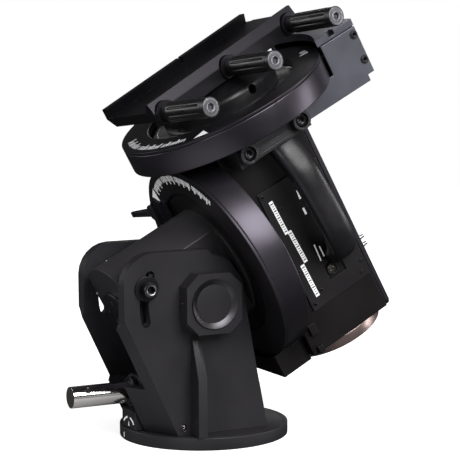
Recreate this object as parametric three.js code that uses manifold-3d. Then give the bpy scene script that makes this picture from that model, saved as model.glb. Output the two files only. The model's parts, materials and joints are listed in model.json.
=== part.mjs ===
// Centre-balanced equatorial telescope mount.
//
// Millimetres, +Z up. The origin is the centre of the base disc's underside. +X points
// to the raised end of the polar (RA) axis, and the handle side of the head faces -Y.
//
// Motion chain: base > fork (azimuth, Z) > neck (latitude, Y) > head (RA) > saddle (Dec).
// Neck and head are drawn in tilted axes: x along the RA axis, y as in the world and
// z along the Dec axis, with their zero where the RA and Dec axes cross.

import * as THREE from 'three';
import { mergeVertices } from 'three/addons/utils/BufferGeometryUtils.js';
import Module from 'manifold-3d';

// Driving dimensions
const GAP = 0.3;
const LATITUDE = THREE.MathUtils.degToRad(28.2);
const AXES_CROSS = { x: 120, z: 285.5 };
const PIVOT = { x: -32, z: 193 };
const SADDLE_TURN = THREE.MathUtils.degToRad(12);

const BASE_R = 115;
const BASE_H = 17;
const FORK_OUTER = 78;
const FORK_INNER = 59;
const FOOT_INNER = 27;
const FOOT_TOP = 80;
const BOSS_OUTER = 102;
const RIB_OUT = -104;
const SLOT_R = 90;
const SLOT_WIDTH = 13;
const SLOT_FROM = 154;
const SLOT_TO = 194;
const LOCK_ANGLE = THREE.MathUtils.degToRad(165);

const WORM_Z = 67;
const SHAFT_R = 14.5;
const SHAFT_TIP = -196;
const SECTOR_R = 112.4;

const DRUM_R = 84;
const DRUM_FLAT = 57;
const DRUM_END = -265;
const DRUM_TRIM_R = 102;

const WHEEL_R = 107.5;
const RING_R = 150;
const RING_IN = 108;
const RA_FACE = -114;
const RA_BACK = -72;
const DEC_R = 147.6;
const DEC_FACE = 194;
const DEC_BACK = 157;
const DEC_WHEEL_TOP = 184;
const CAVITY_R = 119;

const BODY_HALF = 70;
const BODY_RIGHT = 60;
const COVER_T = 7;
const BODY_LOW = -168;
const END_PLATE_T = 14;
const DEC_BOX_TOP = 200;
const LID_TOP = 211.3;

const SADDLE_LOW = 38;
const SADDLE_FLOOR = 52;
const SADDLE_TOP = 65;
const SADDLE_RELIEF = 1;
const SADDLE_L = 139;
const SADDLE_FAR = 57;
const SADDLE_NEAR = 44;
const JAW_LOW = 30;
const JAW_LEDGE = 49;
const JAW_OUT = 52;
const BOSS_OUT = 56;
const KNOB_END = 149.5;
const KNOB_STEP = 122;
const KNOB_Z = 42.5;
const KNOB_R = 13.5;

// Materials
function paint(color, roughness, metalness) {
  return new THREE.MeshStandardMaterial({ color, roughness, metalness });
}

const blackPaint = paint(0x17161a, 0.55, 0.4);
const satinBlack = paint(0x1d1b20, 0.42, 0.5);
const glossBlack = paint(0x0b0b0d, 0.2, 0.1);
const slate = paint(0x2b2d34, 0.45, 0.5);
const chrome = paint(0xc9c9cc, 0.12, 1);
const steel = paint(0x8d8f94, 0.35, 1);
const bronze = paint(0x8b7470, 0.4, 0.9);
const brass = paint(0xb08d4a, 0.35, 1);
const capGrey = paint(0x7c7b80, 0.4, 0.6);
const boardGreen = paint(0x1d5a35, 0.6, 0);

// Solids
const wasm = await Module();
wasm.setup();

function solid(geometry) {
  const bare = geometry.clone();
  bare.deleteAttribute('normal');
  bare.deleteAttribute('uv');
  const merged = mergeVertices(bare, 1e-4);
  return new wasm.Manifold(new wasm.Mesh({
    numProp: 3,
    vertProperties: new Float32Array(merged.attributes.position.array),
    triVerts: new Uint32Array(merged.index.array),
  }));
}

function surface(manifold) {
  const mesh = manifold.getMesh();
  const geometry = new THREE.BufferGeometry();
  const positions = new Float32Array(mesh.vertProperties);
  geometry.setAttribute('position', new THREE.BufferAttribute(positions, 3));
  geometry.setIndex(new THREE.BufferAttribute(new Uint32Array(mesh.triVerts), 1));
  geometry.computeVertexNormals();
  return geometry;
}

function box(x0, x1, y0, y1, z0, z1) {
  const geometry = new THREE.BoxGeometry(x1 - x0, y1 - y0, z1 - z0);
  geometry.translate((x0 + x1) / 2, (y0 + y1) / 2, (z0 + z1) / 2);
  return solid(geometry);
}

function rodX(radius, x0, x1, y, z, sides = 32) {
  const geometry = new THREE.CylinderGeometry(radius, radius, x1 - x0, sides);
  geometry.rotateZ(-Math.PI / 2);
  geometry.translate((x0 + x1) / 2, y, z);
  return solid(geometry);
}

function rodY(radius, y0, y1, x, z, sides = 32) {
  const geometry = new THREE.CylinderGeometry(radius, radius, y1 - y0, sides);
  geometry.translate(x, (y0 + y1) / 2, z);
  return solid(geometry);
}

function rodZ(radius, z0, z1, x, y, sides = 32) {
  const geometry = new THREE.CylinderGeometry(radius, radius, z1 - z0, sides);
  geometry.rotateX(Math.PI / 2);
  geometry.translate(x, y, (z0 + z1) / 2);
  return solid(geometry);
}

function polygon(points) {
  return new THREE.Shape(points.map(([x, y]) => new THREE.Vector2(x, y)));
}

// Outline in X and Z, from y0 to y1.
function slabXZ(points, y0, y1) {
  const geometry = new THREE.ExtrudeGeometry(polygon(points), { depth: y1 - y0, bevelEnabled: false });
  geometry.rotateX(Math.PI / 2);
  geometry.translate(0, y1, 0);
  return solid(geometry);
}

// Outline in Y and Z, from x0 to x1.
function slabYZ(points, x0, x1) {
  const geometry = new THREE.ExtrudeGeometry(polygon(points), { depth: x1 - x0, bevelEnabled: false });
  geometry.rotateX(Math.PI / 2);
  geometry.rotateZ(Math.PI / 2);
  geometry.translate(x0, 0, 0);
  return solid(geometry);
}

// Outline in X and Y, from z0 to z1.
function slabXY(points, z0, z1) {
  const geometry = new THREE.ExtrudeGeometry(polygon(points), { depth: z1 - z0, bevelEnabled: false });
  geometry.translate(0, 0, z0);
  return solid(geometry);
}

// Profile of [radius, height] pairs turned about Z.
function turned(profile, sides = 64) {
  const points = profile.map(([radius, height]) => new THREE.Vector2(radius, height));
  const geometry = new THREE.LatheGeometry(points, sides);
  geometry.rotateX(Math.PI / 2);
  return solid(geometry);
}

// A turned ring about Z with small edge bevels on its outside.
function ringZ(outer, inner, z0, z1, sides = 64, bevel = 1) {
  if (bevel === 0) {
    return turned([[inner, z0], [outer, z0], [outer, z1], [inner, z1], [inner, z0]], sides);
  }
  return turned([
    [inner, z0],
    [outer - bevel, z0],
    [outer, z0 + bevel],
    [outer, z1 - bevel],
    [outer - bevel, z1],
    [inner, z1],
    [inner, z0],
  ], sides);
}

function ringX(outer, inner, x0, x1, sides = 64, bevel = 1) {
  return ringZ(outer, inner, x0, x1, sides, bevel).rotate([0, 90, 0]);
}

function arc(cx, cy, radius, from, to, steps) {
  const points = [];
  for (let i = 0; i <= steps; i += 1) {
    const angle = THREE.MathUtils.degToRad(from + ((to - from) * i) / steps);
    points.push([cx + radius * Math.cos(angle), cy + radius * Math.sin(angle)]);
  }
  return points;
}

const mount = new THREE.Group();

function add(parent, name, manifold, material) {
  const mesh = new THREE.Mesh(surface(manifold), material);
  mesh.name = name;
  parent.add(mesh);
  return mesh;
}

// Base: the disc that bolts to the pier, with its centre stud and azimuth peg
add(mount, 'base_disc', turned([
  [0, 0],
  [BASE_R - 1.5, 0],
  [BASE_R, 1.5],
  [BASE_R, BASE_H - 1.5],
  [BASE_R - 1.5, BASE_H],
  [0, BASE_H],
], 64), blackPaint);

add(mount, 'azimuth_stud', rodZ(12, BASE_H, 29.5, 0, 0, 32), steel);
add(mount, 'azimuth_peg', box(-74, -60, -8, 8, BASE_H, 40), steel);

// Fork: two cheeks that stand on thick feet and carry the latitude bosses
const FOOT_LOW = BASE_H + GAP;

const cheekOutline = [
  [57.5, FOOT_LOW],
  [41, 102],
  [25, 191],
  [22, 218],
  ...arc(PIVOT.x, 193, 62.5, 57, 82, 3),
  [-30, 262],
  [-100, 262],
  ...arc(-107, 219, 43, 92, 178, 6),
  [-150, 172],
  [-190, 60],
  [-190, FOOT_LOW],
];

const footOutline = [
  [57.5, FOOT_LOW],
  [45.5, FOOT_TOP],
  [-190, FOOT_TOP],
  [-190, FOOT_LOW],
];

// The half space behind the fork's slanted front, on the near (-Y) side.
function behindFront() {
  const normal = new THREE.Vector3(8007, 3925, 3774).normalize();
  const size = 600;
  const geometry = new THREE.BoxGeometry(size, size, size);
  geometry.translate(size / 2, 0, 0);
  const turn = new THREE.Quaternion().setFromUnitVectors(new THREE.Vector3(1, 0, 0), normal);
  geometry.applyQuaternion(turn);
  geometry.translate(-75, -FORK_OUTER, BASE_H);
  return solid(geometry);
}

function octagon(cx, cz, half, chamfer) {
  const k = half - chamfer;
  return [
    [cx - k, cz - half],
    [cx + k, cz - half],
    [cx + half, cz - k],
    [cx + half, cz + k],
    [cx + k, cz + half],
    [cx - k, cz + half],
    [cx - half, cz + k],
    [cx - half, cz - k],
  ];
}

function slotOutline(radius, width, from, to) {
  const half = width / 2;
  const outer = arc(PIVOT.x, PIVOT.z, radius + half, from, to, 8);
  const inner = arc(PIVOT.x, PIVOT.z, radius - half, to, from, 8);
  const end = (angle, start) => {
    const a = THREE.MathUtils.degToRad(angle);
    const x = PIVOT.x + radius * Math.cos(a);
    const z = PIVOT.z + radius * Math.sin(a);
    return arc(x, z, half, start, start + 180, 5).slice(1, -1);
  };
  return [...outer, ...end(to, to), ...inner, ...end(from, from - 180)];
}

// The rib under the boss leans back towards its top, with one slanted facet.
function forkRib() {
  return wasm.Manifold.hull([
    [-57.5, -FORK_OUTER + 1, FOOT_LOW],
    [-57.5, RIB_OUT, FOOT_LOW],
    [-57.5, RIB_OUT, 93],
    [-55, -FORK_OUTER - 1, 152],
    [-55, -FORK_OUTER + 1, 152],
    [-45, -FORK_OUTER + 1, FOOT_LOW],
    [-45, RIB_OUT, FOOT_LOW],
    [-45, RIB_OUT, 93],
    [-50, -FORK_OUTER - 1, 152],
    [-41, -FORK_OUTER + 1, 145],
    [-45, -FORK_OUTER + 1, 93],
  ]);
}

function forkCheek() {
  let cheek = slabXZ(cheekOutline, -FORK_OUTER, -FORK_INNER);
  cheek = cheek.add(slabXZ(footOutline, -FORK_OUTER, -FOOT_INNER));
  cheek = cheek.intersect(behindFront());
  cheek = cheek.add(slabXZ(octagon(PIVOT.x, PIVOT.z, 40, 17), -BOSS_OUTER, -FORK_OUTER + 1));
  cheek = cheek.add(forkRib());
  const dish = turned([[0, -4.6], [25.5, -4.6], [33, 0], [33, 1], [0, 1]], 48);
  cheek = cheek.subtract(dish.rotate([90, 0, 0]).translate([PIVOT.x, -BOSS_OUTER, PIVOT.z]));
  cheek = cheek.subtract(rodY(22, -BOSS_OUTER + 10, -FORK_INNER + 1, PIVOT.x, PIVOT.z, 32));
  const slot = slotOutline(SLOT_R, SLOT_WIDTH, SLOT_FROM, SLOT_TO);
  cheek = cheek.subtract(slabXZ(slot, -FORK_OUTER - 1, -FORK_INNER + 1));
  cheek = cheek.subtract(rodY(5, -FORK_OUTER - 1, -FOOT_INNER + 1, -67, 28, 16));
  return cheek;
}

add(mount, 'fork_near', forkCheek(), blackPaint);
add(mount, 'fork_far', forkCheek().mirror([0, 1, 0]), blackPaint);

add(
  mount,
  'fork_floor',
  box(-56, 57, -FOOT_INNER + GAP, FOOT_INNER - GAP, FOOT_LOW, 30)
    .subtract(rodZ(12.4, 0, 40, 0, 0, 32)),
  blackPaint,
);

const blockOutline = [
  [-79, FOOT_LOW],
  [-79, 86],
  [-84, 88],
  [-99, 88],
  [-103, 84],
  [-103, 46],
  [-112, 42],
  [-112, FOOT_LOW],
];

add(
  mount,
  'worm_block',
  slabXZ(blockOutline, -22, 22).subtract(rodX(SHAFT_R + 0.4, -130, -70, 0, WORM_Z, 32)),
  blackPaint,
);
add(
  mount,
  'worm_shaft_flange',
  ringX(20, SHAFT_R + 0.4, -111, -103.3, 28, 0).translate([0, 0, WORM_Z]),
  satinBlack,
);

// Latitude drive: the polished shaft that turns the worm under the drum
add(
  mount,
  'latitude_shaft',
  rodX(SHAFT_R, SHAFT_TIP, -60, 0, WORM_Z, 32)
    .subtract(
      rodY(4.5, -20, 20, 0, 0, 16)
        .rotate([-40, 0, 0])
        .translate([SHAFT_TIP + 21, 0, WORM_Z]),
    ),
  chrome,
);
add(mount, 'latitude_worm', rodX(13, -59.7, 2, 0, WORM_Z, 24), brass);

// Azimuth screws that push on the peg from both sides
function azimuthScrew() {
  return rodY(4.5, -74, -9, -67, 28, 16)
    .subtract(rodY(2.4, -75, -69, -67, 28, 6));
}

add(mount, 'azimuth_screw_near', azimuthScrew(), chrome);
add(mount, 'azimuth_screw_far', azimuthScrew().mirror([0, 1, 0]), chrome);

// Latitude lock screws in the arc slots, one to a cheek
const lock = {
  x: PIVOT.x + SLOT_R * Math.cos(LOCK_ANGLE),
  z: PIVOT.z + SLOT_R * Math.sin(LOCK_ANGLE),
};

function lockScrew() {
  return rodY(5.8, -84, -DRUM_FLAT - GAP, lock.x, lock.z, 20)
    .add(rodY(10, -95, -81.6, lock.x, lock.z, 24))
    .subtract(rodY(5.2, -96, -88, lock.x, lock.z, 6));
}

function lockWasher() {
  return rodY(16.5, -81.3, -FORK_OUTER - GAP, lock.x, lock.z, 28)
    .subtract(rodY(6.2, -90, -70, lock.x, lock.z, 20));
}

add(mount, 'latitude_lock_near', lockScrew(), satinBlack);
add(mount, 'latitude_lock_far', lockScrew().mirror([0, 1, 0]), satinBlack);
add(mount, 'lock_washer_near', lockWasher(), satinBlack);
add(mount, 'lock_washer_far', lockWasher().mirror([0, 1, 0]), satinBlack);

add(mount, 'latitude_pin_near', rodY(21.4, -BOSS_OUTER + 10.5, -DRUM_FLAT - GAP, PIVOT.x, PIVOT.z, 32), steel);
add(mount, 'latitude_pin_far', rodY(21.4, DRUM_FLAT + GAP, BOSS_OUTER - 10.5, PIVOT.x, PIVOT.z, 32), steel);

// Tilted axes of the neck and head
const tilted = new THREE.Group();
tilted.position.set(AXES_CROSS.x, 0, AXES_CROSS.z);
tilted.rotation.y = -LATITUDE;
mount.add(tilted);

const toPivot = { x: PIVOT.x - AXES_CROSS.x, z: PIVOT.z - AXES_CROSS.z };
const pivotA = toPivot.x * Math.cos(LATITUDE) + toPivot.z * Math.sin(LATITUDE);
const pivotH = -toPivot.x * Math.sin(LATITUDE) + toPivot.z * Math.cos(LATITUDE);

// Neck: the flat-sided drum, its bearings, the toothed sector and the fixed RA worm wheel
const WHEEL_TOP = -110;
const WHEEL_BACK = -92;

function drum() {
  const flats = box(DRUM_END, WHEEL_TOP - 5, -DRUM_FLAT, DRUM_FLAT, -DRUM_R - 1, DRUM_R + 1);
  const collar = box(WHEEL_TOP - 5, WHEEL_TOP, -DRUM_R - 1, DRUM_R + 1, -DRUM_R - 1, DRUM_R + 1);
  const trim = rodY(DRUM_TRIM_R, -100, 100, pivotA, pivotH, 64)
    .add(box(pivotA - 60, 0, -100, 100, pivotH, 100))
    .add(box(DRUM_END, 0, -100, 100, pivotH, 100));
  return rodX(DRUM_R, DRUM_END, WHEEL_TOP - GAP, 0, 0, 64)
    .intersect(flats.add(collar))
    .intersect(trim)
    .subtract(rodX(36, DRUM_END - 1, -100, 0, 0, 32))
    .subtract(rodX(48, -136, -100, 0, 0, 32))
    .subtract(rodX(48, DRUM_END - 1, -236, 0, 0, 32));
}

add(tilted, 'neck_drum', drum(), blackPaint);
add(tilted, 'neck_end_cap', rodX(47.6, DRUM_END - 4, DRUM_END + 6, 0, 0, 32), satinBlack);
add(tilted, 'ra_bearing_front', ringX(47.6, 30.5, -135.6, -112, 32, 0), steel);
add(tilted, 'ra_bearing_rear', ringX(47.6, 30.5, -255, -236.4, 32, 0), steel);

function sector() {
  const outer = arc(pivotA, pivotH, SECTOR_R, 234 - 28.2, 288 - 28.2, 14);
  const inner = arc(pivotA, pivotH, 60, 288 - 28.2, 234 - 28.2, 6);
  return slabXZ([...outer, ...inner], -8, 8)
    .subtract(
      rodY(DRUM_TRIM_R + GAP, -20, 20, pivotA, pivotH, 64)
        .intersect(box(DRUM_END - GAP, 0, -20, 20, -DRUM_R - GAP, 100)),
    )
    .subtract(box(DRUM_END - 60, DRUM_END + 12, -20, 20, -120, 100)
      .intersect(rodY(DRUM_TRIM_R + GAP, -20, 20, pivotA, pivotH, 64)));
}

add(tilted, 'latitude_sector', sector(), brass);
add(tilted, 'ra_worm_wheel', ringX(WHEEL_R, 34, WHEEL_TOP, WHEEL_BACK, 60, 0), brass);

// Head, RA side: the cup round the worm wheel, its face ring, box and drive
function raCup() {
  return rodX(RING_R, WHEEL_TOP + GAP, RA_BACK, 0, 0, 72)
    .subtract(rodX(CAVITY_R, -115, -84, 0, 0, 48))
    .subtract(rodX(30.6, -90, -60, 0, 0, 32))
    .subtract(box(-110, -91, -48, 42, -160, -90));
}

add(tilted, 'ra_cup', raCup(), satinBlack);
add(tilted, 'ra_face_ring', ringX(RING_R, RING_IN, RA_FACE, WHEEL_TOP, 72, 0), satinBlack);

function raBox() {
  return box(-120, RA_BACK, -57, 50, -174, -118)
    .subtract(box(-116, RA_BACK - 4, -53, 46, -170, -110))
    .subtract(rodX(RING_R + GAP, -125, -60, 0, 0, 72));
}

add(tilted, 'ra_box', raBox(), blackPaint);
add(tilted, 'ra_motor', rodY(9, -30, 30, -98, -158, 20), steel);
add(tilted, 'ra_worm', rodY(8, -40, 36, -101, -116.2, 20), steel);
add(tilted, 'ra_shaft', rodX(30, -250, -61, 0, 0, 32).subtract(rodX(20, -251, -80, 0, 0, 24)), steel);

// Head, Dec side
function decCup() {
  return rodZ(DEC_R, DEC_BACK, 190 - GAP, 0, 0, 72)
    .subtract(rodZ(CAVITY_R, 168, 195, 0, 0, 48))
    .subtract(rodZ(34, 150, 180, 0, 0, 32))
    .subtract(box(90, 160, -45, 45, 168, 190));
}

add(tilted, 'dec_cup', decCup(), satinBlack);
add(tilted, 'dec_face_ring', turned([
  [RING_IN, DEC_WHEEL_TOP + GAP],
  [RING_IN + 2.5, DEC_WHEEL_TOP + GAP],
  [RING_IN + 2.5, 190],
  [DEC_R, 190],
  [DEC_R, DEC_FACE],
  [RING_IN, DEC_FACE],
  [RING_IN, DEC_WHEEL_TOP + GAP],
], 72), satinBlack);

function decBox() {
  return box(118, 192, -76, 66, 131, DEC_BOX_TOP)
    .add(box(BODY_RIGHT + COVER_T + GAP, 181, -76, 66, 122, DEC_BACK - GAP))
    .subtract(box(BODY_RIGHT + COVER_T + 4, 177, -72, 62, 126, 170))
    .subtract(box(90, 188, -72, 62, 135, DEC_BOX_TOP + 1))
    .subtract(box(110, 132.5, -77, -60, DEC_BACK - GAP, DEC_BOX_TOP + 1))
    .subtract(rodZ(DEC_R + GAP, DEC_BACK - GAP, 210, 0, 0, 60));
}

add(tilted, 'dec_box', decBox(), slate);

// The lid stands on a set-back foot and has a notch through its near wall.
function decLid() {
  return box(118, 190.5, -74.5, 64.5, DEC_BOX_TOP + GAP, DEC_BOX_TOP + 2)
    .add(box(118, 192, -76, 66, DEC_BOX_TOP + 1.5, LID_TOP))
    .subtract(rodZ(DEC_R + 1.4, 120, 220, 0, 0, 60))
    .subtract(box(149.5, 160, -77, -64, 205, LID_TOP + 1));
}

add(tilted, 'dec_box_lid', decLid(), slate);
add(tilted, 'dec_motor', rodY(18, -40, 34, 168, 158, 24), steel);
add(tilted, 'dec_worm', rodY(8, -40, 40, 116.2, 176.5, 20), steel);

function decBody() {
  return box(RA_BACK + GAP, BODY_RIGHT, -BODY_HALF, BODY_HALF, BODY_LOW, DEC_BACK - GAP)
    .subtract(box(RA_BACK + 10, BODY_RIGHT + 1, -BODY_HALF + 7, BODY_HALF - 7, BODY_LOW + 12, 140))
    .subtract(rodX(30.6, -80, -50, 0, 0, 32))
    .subtract(rodZ(34, 130, 160, 0, 0, 32))
    .subtract(rodZ(34, -180, -150, 0, 0, 32));
}

add(tilted, 'dec_body', decBody(), blackPaint);
const coverSide = [
  [-BODY_HALF, DEC_BACK - GAP],
  [-BODY_HALF, BODY_LOW + 7],
  [-BODY_HALF + 5, BODY_LOW],
  [BODY_HALF - 5, BODY_LOW],
  [BODY_HALF, BODY_LOW + 7],
  [BODY_HALF, DEC_BACK - GAP],
];
add(
  tilted,
  'north_cover',
  slabYZ(coverSide, BODY_RIGHT + GAP, BODY_RIGHT + COVER_T),
  satinBlack,
);
add(
  tilted,
  'end_plate',
  rodZ(BODY_HALF, BODY_LOW - GAP - END_PLATE_T, BODY_LOW - GAP, 0, 0, 64),
  bronze,
);
add(tilted, 'dec_bearing_low', ringZ(33.6, 24.4, -167.6, -150, 32, 0), steel);
add(tilted, 'dec_bearing_high', ringZ(33.6, 24.4, 141, 166, 32, 0), steel);
add(tilted, 'circuit_board', box(46, 48, -55, 55, -90, 60), boardGreen);

// Handle and its bracket
const bracketPlan = [
  [-60, -BODY_HALF - GAP],
  [-60, -106],
  [-53, -116],
  [-36, -116],
  [-30, -104],
  [30, -104],
  [36, -116],
  [52, -116],
  [58, -108],
  [58, -BODY_HALF - GAP],
];
add(
  tilted,
  'handle_bracket',
  slabXY(bracketPlan, 124, DEC_BACK - GAP)
    .subtract(rodY(9, -120, -106, -45, 140, 24))
    .subtract(rodY(9, -120, -106, 43, 140, 24)),
  satinBlack,
);

function bracketScrew(x) {
  return rodY(8, -113, -106 - GAP, x, 140, 20)
    .subtract(rodY(4, -114, -110, x, 140, 6));
}

add(tilted, 'bracket_screw_left', bracketScrew(-45), steel);
add(tilted, 'bracket_screw_right', bracketScrew(43), steel);

function handleTube(grow) {
  const path = new THREE.CatmullRomCurve3([
    new THREE.Vector3(12, -90, 123.4),
    new THREE.Vector3(13, -101, 104),
    new THREE.Vector3(15, -111, 76),
    new THREE.Vector3(17, -115, 34),
    new THREE.Vector3(20, -114, -6),
    new THREE.Vector3(23, -105, -34),
    new THREE.Vector3(26, -89, -50),
    new THREE.Vector3(29, -66, -60),
  ]);
  const section = new THREE.Shape();
  const rx = 14 + grow;
  const ry = 21 + grow;
  for (let i = 0; i < 16; i += 1) {
    const angle = (i / 16) * 2 * Math.PI;
    const c = Math.cos(angle);
    const s = Math.sin(angle);
    const x = rx * Math.sign(c) * Math.abs(c) ** 0.7;
    const y = ry * Math.sign(s) * Math.abs(s) ** 0.7;
    if (i === 0) section.moveTo(x, y);
    else section.lineTo(x, y);
  }
  const geometry = new THREE.ExtrudeGeometry(section, { steps: 14, extrudePath: path });
  return solid(geometry);
}

const besideBody = box(-100, 100, -200, -BODY_HALF - GAP, -200, 124 - GAP);
add(tilted, 'handle', handleTube(0).intersect(besideBody), glossBlack);

const panelSide = [
  [-44, -112],
  [57, -112],
  [57, 72],
  [-44, 72],
];
add(
  tilted,
  'port_panel',
  slabXZ(panelSide, -BODY_HALF - 2.3, -BODY_HALF - GAP)
    .subtract(box(-2, 27, -80, -60, -87, -64))
    .subtract(handleTube(2 * GAP)),
  satinBlack,
);

// Gear switches
function raSwitch() {
  const hub = rodX(12, RA_FACE - 14, RA_FACE - GAP, 97, 79, 24);
  const blade = slabXY([
    [RA_FACE - 4, 90],
    [RA_FACE - 4, 114],
    [RA_FACE - 20, 149],
    [RA_FACE - 24, 149],
    [RA_FACE - 14, 104],
    [RA_FACE - 14, 90],
  ], 73, 81);
  return hub.add(blade);
}

add(tilted, 'ra_gear_switch', raSwitch(), satinBlack);

function decSwitch() {
  const hub = rodZ(11, DEC_FACE + GAP, DEC_FACE + 12, 60, 110, 24);
  const blade = box(56, 64, 104, 146, DEC_FACE + 5, DEC_FACE + 12);
  return hub.add(blade);
}

add(tilted, 'dec_gear_switch', decSwitch(), satinBlack);

// Turning Dec parts: shaft, worm wheel and hub
add(
  tilted,
  'dec_shaft',
  rodZ(24, -158, DEC_WHEEL_TOP - GAP, 0, 0, 32).subtract(rodZ(14, -160, 170, 0, 0, 24)),
  steel,
);
add(tilted, 'dec_worm_wheel', ringZ(WHEEL_R, 24.4, 169, DEC_WHEEL_TOP, 60, 0), brass);
add(tilted, 'saddle_hub', turned([
  [0, DEC_WHEEL_TOP + GAP],
  [DRUM_R, DEC_WHEEL_TOP + GAP],
  [DRUM_R, 206],
  [82, 210],
  [74, 215.5],
  [62, 219.5],
  [50, 222],
  [43, 222.5],
  [43, DEC_FACE + SADDLE_LOW - GAP],
  [0, DEC_FACE + SADDLE_LOW - GAP],
], 56).subtract(rodY(6.5, -100, -60, 0, 203, 20).rotate([0, 0, 9])), satinBlack);

// Saddle: dovetail plate, sliding jaw and three clamp knobs; x runs along the plate.
// The floor is relieved along both jaws, so that a plate's edges can't bind there.
const saddle = new THREE.Group();
saddle.position.set(0, 0, DEC_FACE);
saddle.rotation.z = SADDLE_TURN;
tilted.add(saddle);

const plateEnd = [
  [SADDLE_FAR - 14, SADDLE_LOW],
  [SADDLE_FAR, SADDLE_LOW + 12],
  [SADDLE_FAR, SADDLE_TOP],
  [SADDLE_FAR - 10.5, SADDLE_TOP],
  [SADDLE_FAR - 5.5, SADDLE_FLOOR - SADDLE_RELIEF],
  [SADDLE_FAR - 16, SADDLE_FLOOR - SADDLE_RELIEF],
  [SADDLE_FAR - 16, SADDLE_FLOOR],
  [-SADDLE_NEAR + 9, SADDLE_FLOOR],
  [-SADDLE_NEAR + 9, SADDLE_FLOOR - SADDLE_RELIEF],
  [-SADDLE_NEAR, SADDLE_FLOOR - SADDLE_RELIEF],
  [-SADDLE_NEAR, SADDLE_LOW],
];

function saddlePlate() {
  let plate = slabYZ(plateEnd, -SADDLE_L, SADDLE_L);
  for (const x of [-KNOB_STEP, 0, KNOB_STEP]) {
    plate = plate.subtract(rodY(3.6, -SADDLE_NEAR - 1, -18, x, KNOB_Z, 16));
  }
  const lip = [SADDLE_FAR - 16, SADDLE_FAR + 1, SADDLE_FLOOR - SADDLE_RELIEF, SADDLE_TOP + 1];
  return plate
    .subtract(box(4, 8, lip[0], lip[1], lip[2] + 4, lip[3]))
    .subtract(box(SADDLE_L - 4.5, SADDLE_L + 1, ...lip));
}

add(saddle, 'saddle_plate', saddlePlate(), satinBlack);

const jawEnd = [
  [-SADDLE_NEAR - GAP, JAW_LOW],
  [-SADDLE_NEAR - GAP, SADDLE_FLOOR - SADDLE_RELIEF + GAP],
  [-SADDLE_NEAR + 7, SADDLE_FLOOR - SADDLE_RELIEF + GAP],
  [-SADDLE_NEAR + 2, SADDLE_TOP - 1.5],
  [-SADDLE_NEAR - 3, SADDLE_TOP - 1.5],
  [-JAW_OUT, JAW_LEDGE],
  [-JAW_OUT, JAW_LOW],
];

function jaw() {
  let bar = slabYZ(jawEnd, -SADDLE_L, SADDLE_L);
  for (const x of [-KNOB_STEP, 0, KNOB_STEP]) {
    bar = bar
      .add(rodY(KNOB_R + 3, -BOSS_OUT, -SADDLE_NEAR - 3, x, KNOB_Z, 32))
      .subtract(rodY(3.6, -BOSS_OUT - 1, -SADDLE_NEAR + 1, x, KNOB_Z, 16));
  }
  return bar.subtract(box(-SADDLE_L - 1, SADDLE_L + 1, -BOSS_OUT - 1, -SADDLE_NEAR, 0, JAW_LOW));
}

add(saddle, 'saddle_jaw', jaw(), satinBlack);

function knob(x) {
  const flutes = [];
  for (let i = 0; i < 32; i += 1) {
    const radius = i % 4 === 0 ? KNOB_R - 1.5 : KNOB_R;
    flutes.push([radius * Math.cos((i / 16) * Math.PI), radius * Math.sin((i / 16) * Math.PI)]);
  }
  return slabXZ(flutes, -KNOB_END + 6 + GAP, -BOSS_OUT - GAP)
    .translate([x, 0, KNOB_Z])
    .add(rodY(3.2, -BOSS_OUT - 2, -20, x, KNOB_Z, 16));
}

function knobCap(x) {
  return rodY(KNOB_R, -KNOB_END, -KNOB_END + 6, x, KNOB_Z, 28)
    .subtract(rodY(5, -KNOB_END - 1, -KNOB_END + 4, x, KNOB_Z, 6));
}

const knobPlaces = { left: -KNOB_STEP, middle: 0, right: KNOB_STEP };
for (const [place, x] of Object.entries(knobPlaces)) {
  add(saddle, `clamp_knob_${place}`, knob(x), glossBlack);
  add(saddle, `knob_cap_${place}`, knobCap(x), capGrey);
}

export default mount;
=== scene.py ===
"""Equatorial telescope mount: the visible surfaces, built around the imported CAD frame.

Pieces are drawn in millimetres in a local frame (base, RA axis, head or saddle) and
written in metres. Camera, lights and floor are in metres. Sizes that the CAD model
already holds are read from its nodes.
"""
import json
import math

import bmesh
import bpy
from mathutils import Matrix, Vector

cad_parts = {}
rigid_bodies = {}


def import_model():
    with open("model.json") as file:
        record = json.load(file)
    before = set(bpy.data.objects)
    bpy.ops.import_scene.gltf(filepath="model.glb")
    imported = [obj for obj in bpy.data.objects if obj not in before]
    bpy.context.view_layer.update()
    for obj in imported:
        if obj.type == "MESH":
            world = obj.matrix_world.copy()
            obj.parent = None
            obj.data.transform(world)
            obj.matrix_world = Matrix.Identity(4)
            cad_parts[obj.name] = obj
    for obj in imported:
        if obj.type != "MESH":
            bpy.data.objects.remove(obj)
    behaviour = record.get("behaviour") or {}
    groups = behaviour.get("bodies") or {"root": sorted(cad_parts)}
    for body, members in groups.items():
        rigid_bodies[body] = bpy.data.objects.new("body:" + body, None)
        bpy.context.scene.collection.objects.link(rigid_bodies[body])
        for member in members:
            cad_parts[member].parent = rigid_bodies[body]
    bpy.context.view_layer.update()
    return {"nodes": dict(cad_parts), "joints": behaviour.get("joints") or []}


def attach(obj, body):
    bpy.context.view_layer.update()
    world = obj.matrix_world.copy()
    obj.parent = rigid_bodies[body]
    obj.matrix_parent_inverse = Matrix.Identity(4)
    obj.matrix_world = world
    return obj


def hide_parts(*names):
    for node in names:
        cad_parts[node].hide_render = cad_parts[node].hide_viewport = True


for spare in list(bpy.data.objects):
    bpy.data.objects.remove(spare)

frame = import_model()

MM = 0.001
GAP = 0.3
TAU = 2 * math.pi


# ---- local frames

def frame_from(origin, x, y, z):
    """A frame with these axes, as a matrix in metres."""
    matrix = Matrix((x, y, z)).transposed().to_4x4()
    matrix.translation = origin
    return matrix


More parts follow.
